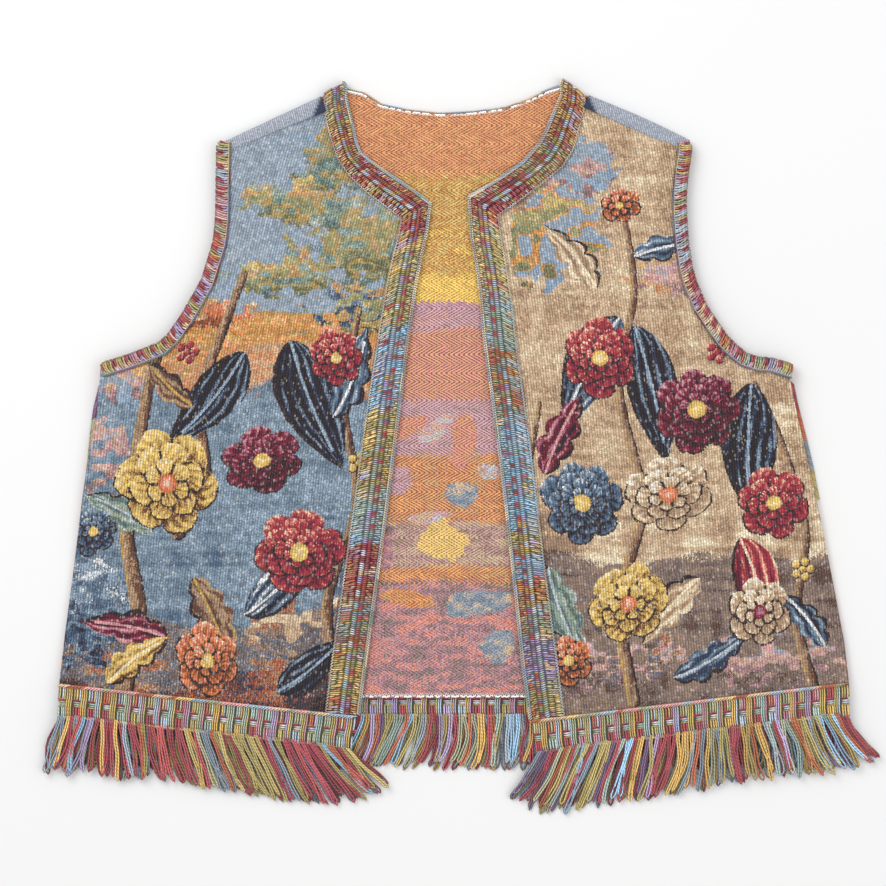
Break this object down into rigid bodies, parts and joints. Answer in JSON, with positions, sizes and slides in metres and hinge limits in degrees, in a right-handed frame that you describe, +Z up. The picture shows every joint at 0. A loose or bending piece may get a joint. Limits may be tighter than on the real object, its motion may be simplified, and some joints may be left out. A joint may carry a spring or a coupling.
{
  "type": "tapestry vest",
  "caption": "Open-front sleeveless vest of woven tapestry, laid flat on its back, with braided neck, front and armhole edges and a fringed hem band.",
  "frame": {"origin": "middle of the vest's footprint, on the surface that it lies on", "axes": "+X to the right of someone looking down at the laid vest, +Y towards its neck, +Z up from the surface"},
  "size_m": [0.584, 0.516, 0.0107],
  "materials": {
    "tapestry_left": "jacquard tapestry weave, dusty blue, sage, ochre and rust",
    "tapestry_right": "jacquard tapestry weave, beige, ochre, blue and brown",
    "tapestry_back": "reverse of the tapestry, herringbone floats in bands of salmon, ochre, yellow, mauve and orange",
    "braid": "variegated acrylic braid with ladder blocks",
    "binding": "folded variegated braid with cross yarns",
    "fringe": "loose two-ply variegated acrylic yarns"
  },
  "bodies": {
    "root": {"back_panel": "tapestry_back", "front_left": "tapestry_left", "front_right": "tapestry_right", "neck_braid_left": "braid", "neck_braid_right": "braid", "neck_braid_back": "braid", "hem_band_front_left": "braid", "hem_band_front_right": "braid", "hem_band_back": "braid", "fringe_front_left": "fringe", "fringe_front_right": "fringe", "fringe_back": "fringe", "armhole_binding_front_left": "binding", "armhole_binding_front_right": "binding", "armhole_binding_back_left": "binding", "armhole_binding_back_right": "binding", "side_braid_left": "binding", "side_braid_right": "binding"}
  },
  "joints": []
}
